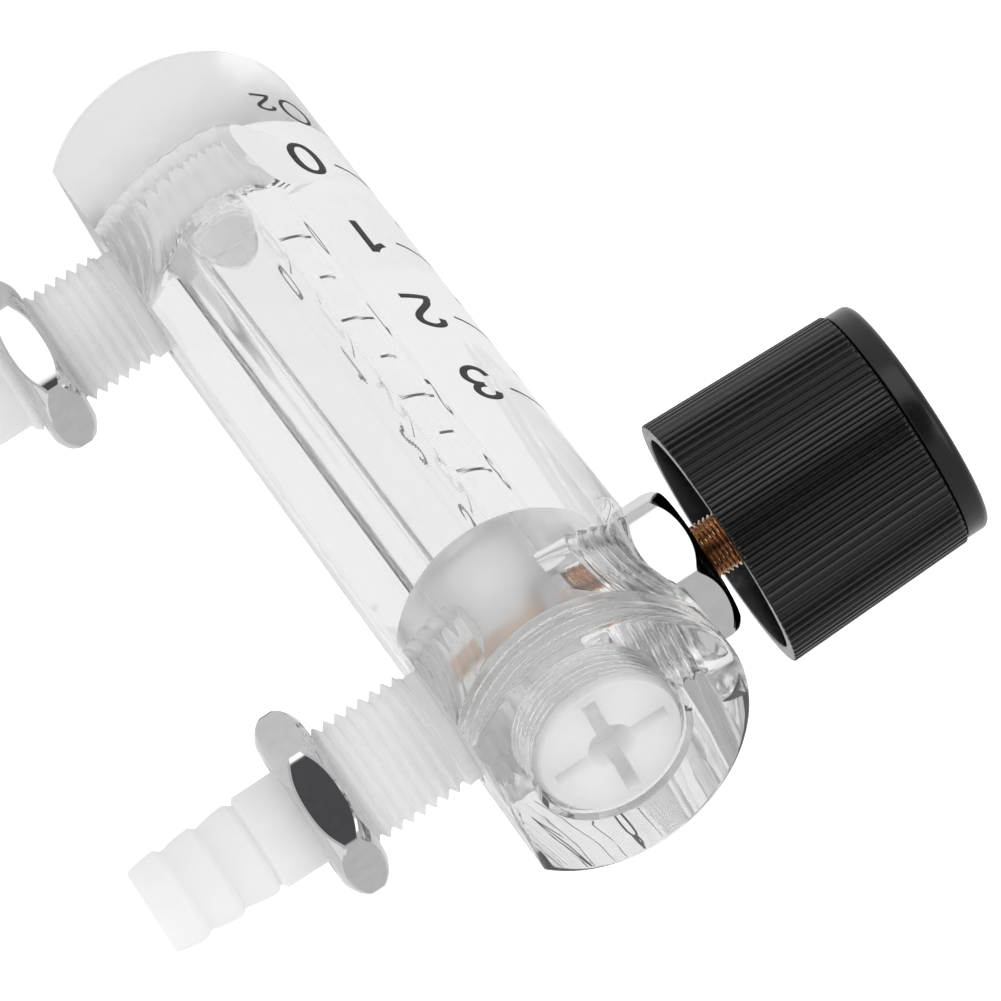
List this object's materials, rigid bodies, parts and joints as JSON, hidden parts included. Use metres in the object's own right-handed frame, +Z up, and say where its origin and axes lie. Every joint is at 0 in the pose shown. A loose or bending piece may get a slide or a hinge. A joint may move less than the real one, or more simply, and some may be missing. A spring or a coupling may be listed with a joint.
{
  "type": "oxygen flowmeter",
  "caption": "Clear acrylic block flowmeter with a ball in a tapered bore, barbed hose connectors with lock nuts, and a needle valve turned by a fluted knob",
  "frame": {"origin": "centre of the block's round section on its flat lower end", "axes": "+Z up the float bore, +Y out of the flat back along the hose connectors, -Y out of the valve knob"},
  "size_m": [0.03, 0.0895, 0.111],
  "materials": {
    "clear_acrylic": "polished clear acrylic, machined matt inside the bores",
    "clear_float": "polished clear ball",
    "white_nylon": "moulded translucent white plastic, satin",
    "clear_silicone": "smooth translucent rubber",
    "chromed_brass": "bright chrome plate",
    "brass": "bare turned brass",
    "steel": "plain turned steel",
    "black_plastic": "moulded black plastic, satin"
  },
  "bodies": {
    "housing": {"block": "clear_acrylic", "float_seat": "clear_acrylic", "float_stop": "clear_acrylic", "top_plug": "white_nylon", "top_plug_seal": "clear_silicone", "inlet_connector": "white_nylon", "inlet_seal": "clear_silicone", "outlet_connector": "white_nylon", "outlet_seal": "clear_silicone", "valve_seat": "brass", "valve_gland": "chromed_brass", "gland_seal": "clear_silicone", "stem_seal": "clear_silicone", "packing_washer": "brass"},
    "float": {"float_ball": "clear_float"},
    "inlet_nut": {"inlet_lock_nut": "chromed_brass"},
    "outlet_nut": {"outlet_lock_nut": "chromed_brass"},
    "valve_travel": {"stop_ring": "steel"},
    "valve": {"valve_stem": "brass", "knob_body": "black_plastic", "knob_insert": "brass", "knob_washer": "steel", "knob_screw": "steel", "knob_cap": "black_plastic"}
  },
  "joints": [
    {"name": "float_rise", "type": "slide", "parent": "housing", "child": "float", "axis": [0, 0, 1], "range_m": [0, 0.0602]},
    {"name": "inlet_nut_slide", "type": "slide", "parent": "housing", "child": "inlet_nut", "axis": [0, 1, 0], "range_m": [-0.0079, 0.003]},
    {"name": "outlet_nut_slide", "type": "slide", "parent": "housing", "child": "outlet_nut", "axis": [0, 1, 0], "range_m": [-0.0095, 0.0015]},
    {"name": "valve_slide", "type": "slide", "parent": "housing", "child": "valve_travel", "axis": [0, -1, 0], "range_m": [-0.00125, 0.0025]},
    {"name": "valve_turn", "type": "hinge", "parent": "valve_travel", "child": "valve", "pos_m": [0, 0, 0.0953], "axis": [0, -1, 0], "range_deg": [-905, 1805]}
  ],
  "couplings": [
    {"joint": "valve_turn", "follows": "valve_slide", "rad_per_m": 12566}
  ]
}
